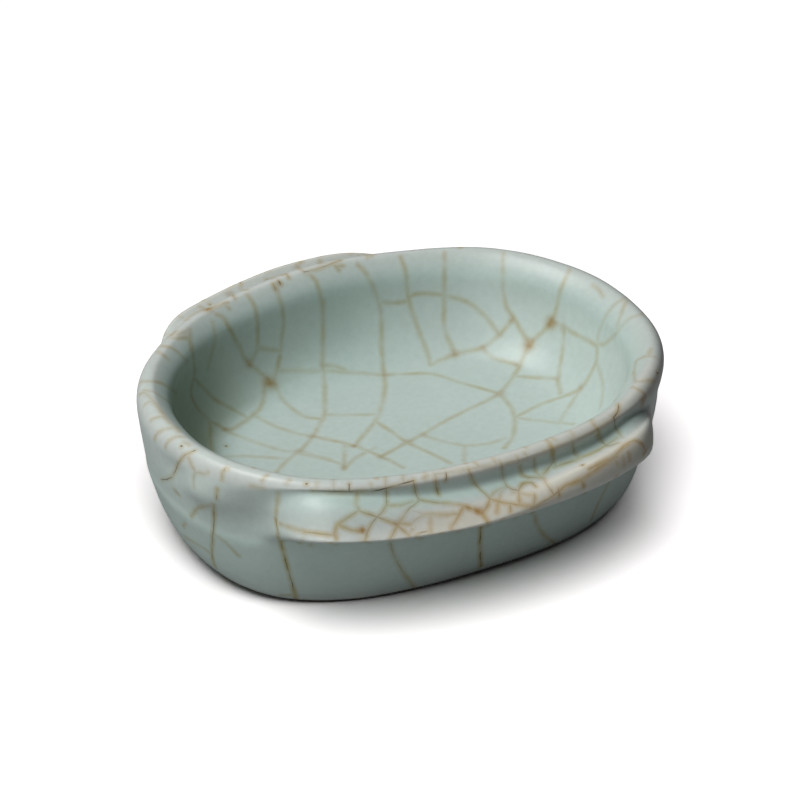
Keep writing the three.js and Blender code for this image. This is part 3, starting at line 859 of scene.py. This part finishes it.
# How stained each point is, from the spots where cracks meet
def writeStains(piece, spots):
    places = readVectors(piece.data.vertices, "co")
    depth = np.zeros(len(places))
    for place, radius, strength in spots:
        distance = np.linalg.norm(places - np.array(place), axis=1) / (radius * mm)
        depth = np.maximum(depth, strength * np.exp(-distance ** 2))
    piece.data.attributes.new("stain", "FLOAT", "POINT").data.foreach_set("value", depth)


writeCracks(glazeCoat, tracedPieces() + hiddenPieces())
writeCracks(baseGlaze, basePieces())
placedStains = [(castPixel(across, down)[0], radius, depth) for across, down, radius, depth in stains]
writeStains(glazeCoat, [stain for stain in placedStains if stain[0] is not None])
writeStains(baseGlaze, [])


# sRGB hex to the linear colour that Blender works in
def linear(hexColour):
    levels = [int(hexColour[start:start + 2], 16) / 255 for start in (1, 3, 5)]
    return (*[x / 12.92 if x <= 0.04045 else ((x + 0.055) / 1.055) ** 2.4 for x in levels], 1)


def addNode(tree, kind, links=None, **settings):
    node = tree.nodes.new("ShaderNode" + kind)
    for name, value in settings.items():
        setattr(node, name, value)
    for name, value in (links or {}).items():
        if isinstance(value, bpy.types.NodeSocket):
            tree.links.new(value, node.inputs[name])
        else:
            node.inputs[name].default_value = value
    return node


def newMaterial(name):
    material = bpy.data.materials.new(name)
    material.use_nodes = True
    tree = material.node_tree
    shader = tree.nodes["Principled BSDF"]
    place = addNode(tree, "TexCoord").outputs["Object"]
    return material, tree, shader, place


# Celadon glaze: iron in a thick, slightly milky glass, fired without air. It is blue green where it
# is thick and grey where it runs thin over an edge, or warm where the crackle there is dense. On the
# hollow's wall at the left end, a darker green is painted in as shade. The crackle is stained with
# iron: gold, with a brown heart where the crack is open.
# It gives the eye a soft gloss, less sharp than window glass.
# Sizes are in millimetres. The bubbles in it are near 0.1 mm, too fine to show, so its grain is drawn
# at 1.6 mm. Each Range is a noise pattern's gain and offset, and each Reach where a crack's colour
# starts to fade and ends.
celadon = {
    "thick": "#b0c2bc", "thin": "#bac0bc", "deep": "#a7b9b3", "paintedShade": "#81907b", "warm": "#c9c7bb",
    "gold": "#e1bf73", "amber": "#d0a050", "brown": "#4f3420", "roughness": 0.41, "ior": 1.45,
    "goldReach": (0.0, 1.2), "heartReach": (0.06, 0.21), "darkest": 0.9,
    "wobble": 0.2, "wobbleSize": 1.7, "noise": 0.55,
    "stainPatch": 5, "stainRange": (2.4, -0.2), "stainLeast": 0.3,
    "openPatch": 4, "openRange": (7.0, -2.4), "openLeast": 0.2,
    "clouds": 14, "cloudRange": (1.2, 0.5), "grain": 1.6, "grainRange": (0.16, 0.92),
    "dimples": 6, "dimpleShare": 0.5, "bump": 0.35, "bumpDepth": 0.06,
}


def celadonGlaze():
    material, tree, shader, place = newMaterial("celadonGlaze")

    def math2(operation, a, b=0.0, c=0.0):
        return addNode(tree, "Math", {0: a, 1: b, 2: c}, operation=operation).outputs[0]

    def blend(kind, factor, a, b):
        links = {0: factor, 6: a, 7: linear(celadon[b]) if isinstance(b, str) else b}
        return addNode(tree, "Mix", links, data_type="RGBA", blend_type=kind).outputs[2]

    # Noise whose patches are so many millimetres wide
    def pattern(size, detail):
        links = {"Vector": place, "Scale": 1 / (size * mm), "Detail": detail}
        return addNode(tree, "TexNoise", {**links, "Roughness": celadon["noise"]}).outputs["Fac"]

    def attribute(name, output):
        return addNode(tree, "Attribute", attribute_name=name).outputs[output]

    def fade(distance, start, end, depth):
        links = {"Value": distance, "From Min": start, "From Max": end, "To Min": depth, "To Max": 0.0}
        return addNode(tree, "MapRange", links, interpolation_type="SMOOTHSTEP").outputs[0]

    wobbleNoise = math2("SUBTRACT", pattern(celadon["wobbleSize"], 3), 0.5)
    wobble = math2("MULTIPLY", wobbleNoise, celadon["wobble"] * 2)
    stainNoise = math2("MULTIPLY_ADD", pattern(celadon["stainPatch"], 3), *celadon["stainRange"])
    openNoise = math2("MULTIPLY_ADD", pattern(celadon["openPatch"], 2), *celadon["openRange"])
    gold, heart = 0.0, 0.0
    for slot in range(drawing["nearest"]):
        near = addNode(tree, "SeparateXYZ", {0: attribute(f"crack{slot}", "Vector")})
        look = addNode(tree, "SeparateXYZ", {0: attribute(f"crackLook{slot}", "Vector")})
        across = math2("ADD", near.outputs[0], wobble)
        past = math2("SUBTRACT", math2("ABSOLUTE", near.outputs[1]), near.outputs[2])
        past = math2("MAXIMUM", past, 0.0)
        flat = addNode(tree, "CombineXYZ", {0: across, 1: past, 2: 0.0}).outputs[0]
        distance = addNode(tree, "VectorMath", {0: flat}, operation="LENGTH").outputs["Value"]
        gold = math2("MAXIMUM", gold, fade(distance, *celadon["goldReach"], look.outputs[0]))
        heart = math2("MAXIMUM", heart, fade(distance, *celadon["heartReach"], look.outputs[1]))
    gold = math2("MULTIPLY", gold, math2("MAXIMUM", stainNoise, celadon["stainLeast"]))
    heart = math2("MULTIPLY", heart, math2("MAXIMUM", openNoise, celadon["openLeast"]))
    heart = math2("MINIMUM", heart, celadon["darkest"])

    thin = attribute("thin", "Fac")
    clouds = math2("SUBTRACT", pattern(celadon["clouds"], 4), 0.5)
    clouds = math2("MULTIPLY_ADD", clouds, *celadon["cloudRange"])
    colour = blend("MIX", clouds, linear(celadon["thick"]), "deep")
    # Painted shade: a darker green on the hollow's inner wall at the left end
    paintedShade = math2("MULTIPLY", math2("MINIMUM", thin, 0.0), 1 / paintedShadeThin)
    colour = blend("MIX", math2("MINIMUM", paintedShade, 1.0), colour, "paintedShade")
    colour = blend("MIX", math2("MAXIMUM", thin, 0.0), colour, "thin")
    overThin = math2("MULTIPLY_ADD", thin, 2.0, -2.0)  # 0 at a thinness of 1, and 1 at 1.5
    colour = blend("MIX", math2("MAXIMUM", overThin, 0.0), colour, "warm")
    grain = math2("MULTIPLY_ADD", pattern(celadon["grain"], 3), *celadon["grainRange"])
    grey = addNode(tree, "CombineXYZ", {0: grain, 1: grain, 2: grain}).outputs[0]
    colour = blend("MULTIPLY", 1.0, colour, grey)
    colour = blend("MULTIPLY", math2("MINIMUM", gold, 1.0), colour, "gold")
    colour = blend("MULTIPLY", attribute("stain", "Fac"), colour, "amber")
    colour = blend("MULTIPLY", heart, colour, "brown")
    tree.links.new(colour, shader.inputs["Base Color"])
    shader.inputs["Roughness"].default_value = celadon["roughness"]
    shader.inputs["IOR"].default_value = celadon["ior"]
    dimples = math2("MULTIPLY", pattern(celadon["dimples"], 2), celadon["dimpleShare"])
    height = math2("MULTIPLY_ADD", heart, -1.0, dimples)
    links = {"Height": height, "Strength": celadon["bump"], "Distance": celadon["bumpDepth"] * mm}
    bump = addNode(tree, "Bump", links)
    tree.links.new(bump.outputs[0], shader.inputs["Normal"])
    return material


# Bare clay of the foot: iron-rich stoneware, scraped flat and burnt dark in the kiln. It gives the eye
# a matte, gritty line, a shade redder where the grit of 0.5 mm stands out.
bareClay = {"dark": "#2b211c", "rusty": "#4b3529", "grit": 0.5, "patches": 7, "roughness": 0.85}
# Stoneware body under the glaze: pressed and left grey by the fire, fine-grained, dull and even
innerClay = {"dark": "#5c554d", "rusty": "#776c60", "grit": 0.6, "patches": 9, "roughness": 0.9}
clayLook = {"gritShare": 0.6, "low": 0.5, "high": 1.1, "bump": 0.5, "bumpDepth": 0.15}


def clay(name, look):
    material, tree, shader, place = newMaterial(name)

    def pattern(size, detail):
        links = {"Vector": place, "Scale": 1 / (look[size] * mm), "Detail": detail}
        return addNode(tree, "TexNoise", links).outputs["Fac"]

    coarse, fine = pattern("patches", 5.0), pattern("grit", 3.0)
    links = {0: fine, 1: clayLook["gritShare"], 2: coarse}
    both = addNode(tree, "Math", links, operation="MULTIPLY_ADD").outputs[0]
    links = {"Value": both, "From Min": clayLook["low"], "From Max": clayLook["high"]}
    share = addNode(tree, "MapRange", links).outputs[0]
    links = {0: share, 6: linear(look["dark"]), 7: linear(look["rusty"])}
    colour = addNode(tree, "Mix", links, data_type="RGBA")
    tree.links.new(colour.outputs[2], shader.inputs["Base Color"])
    shader.inputs["Roughness"].default_value = look["roughness"]
    links = {"Height": fine, "Strength": clayLook["bump"], "Distance": clayLook["bumpDepth"] * mm}
    tree.links.new(addNode(tree, "Bump", links).outputs[0], shader.inputs["Normal"])
    return material


glazeMaterial = celadonGlaze()
footMaterial = clay("bareFootClay", bareClay)
bodyMaterial = clay("stonewareBody", innerClay)
print("materials made")


def finishWith(piece, material):
    piece.data.materials.clear()
    piece.data.materials.append(material)


finishWith(glazeCoat, glazeMaterial)
finishWith(baseGlaze, glazeMaterial)
finishWith(footRing, footMaterial)
for name in ("dish_body", "front_ear", "back_ear"):
    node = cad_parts[name]
    finishWith(node, bodyMaterial)
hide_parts("lining_glaze", "outer_glaze")
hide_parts("base_glaze")
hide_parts("foot_ring")
for piece in (glazeCoat, baseGlaze, footRing):
    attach(piece, "root")


# Paper floor and backdrop, white to the camera. The floor's grey is for the light that falls on the
# dish, and its camera colour lifts it to the photograph's white beside the shadow.
studio = {
    "floorSize": 3.0, "floorGrey": 0.5, "floorSeen": (2, 1.94, 1.95), "worldFill": 0, "backdrop": 1.0,
}


# The camera sees one shader and every other ray another
def splitByRay(tree, others, seen, output):
    light = addNode(tree, "LightPath")
    links = {0: light.outputs["Is Camera Ray"], 1: others.outputs[0], 2: seen.outputs[0]}
    both = addNode(tree, "MixShader", links)
    tree.links.new(both.outputs[0], tree.nodes[output].inputs["Surface"])


def makeFloor():
    shape = bmesh.new()
    bmesh.ops.create_grid(shape, x_segments=1, y_segments=1, size=studio["floorSize"])
    mesh = bpy.data.meshes.new("floor")
    shape.to_mesh(mesh)
    shape.free()
    floor = bpy.data.objects.new("floor", mesh)
    scene.collection.objects.link(floor)
    material, tree, shader, place = newMaterial("paperFloor")
    tree.nodes.remove(shader)
    grey = studio["floorGrey"]
    plain = addNode(tree, "BsdfDiffuse", {"Color": (grey, grey, grey, 1)})
    bright = addNode(tree, "BsdfDiffuse", {"Color": (*studio["floorSeen"], 1)})
    splitByRay(tree, plain, bright, "Material Output")
    mesh.materials.append(material)
    return floor


# Lamps: direction as right, deep and up, as the camera sees the dish, with metres and watts. The key
# lights the dish from the upper left, low fills the side towards the camera and back the far side.
# The other two light only the floor, which keeps its shadow short and soft, as in the photograph.
lamps = {
    "key": {"from": (-0.51, -0.13, 1.0), "distance": 1.2, "size": 0.65, "power": 13.3, "floor": False},
    "low": {"from": (-0.96, -1.8, 1.0), "distance": 1.2, "size": 0.9, "power": 4.2, "floor": False},
    "back": {"from": (0, 0.9, 1.0), "distance": 1.2, "size": 0.6, "power": 1.25, "floor": False},
    "overFloor": {"from": (-0.1, -0.46, 1.0), "distance": 1.0, "size": 0.6, "power": 4.5, "floor": True},
    "floorSky": {"from": (0, 0.1, 1.0), "distance": 1.0, "size": 1.8, "power": 4.9, "floor": True},
}


def makeLamp(name, look):
    rightward, deep = levelDirections()
    across, inward, up = look["from"]
    direction = (rightward * across + deep * inward + Vector((0, 0, up))).normalized()
    data = bpy.data.lights.new(name, "AREA")
    data.shape = "DISK"
    data.size = look["size"]
    data.energy = look["power"]
    lamp = bpy.data.objects.new(name, data)
    lamp.location = direction * look["distance"]
    lamp.rotation_mode = "QUATERNION"
    lamp.rotation_quaternion = (-direction).to_track_quat("-Z", "Y")
    scene.collection.objects.link(lamp)
    lit = bpy.data.collections.new(name + "Lights")
    lit.objects.link(floor)
    lit.collection_objects[0].light_linking.link_state = "INCLUDE" if look["floor"] else "EXCLUDE"
    lamp.light_linking.receiver_collection = lit


def makeWorld():
    world = bpy.data.worlds.new("studio")
    world.use_nodes = True
    scene.world = world
    tree = world.node_tree
    fill = tree.nodes["Background"]
    level = studio["worldFill"]
    fill.inputs[0].default_value = (level, level, level, 1)
    white = addNode(tree, "Background", {0: (1, 1, 1, 1), 1: studio["backdrop"]})
    splitByRay(tree, fill, white, "World Output")


floor = makeFloor()
for name, look in lamps.items():
    makeLamp(name, look)
makeWorld()
scene.view_settings.view_transform = "Standard"
print("studio lit")
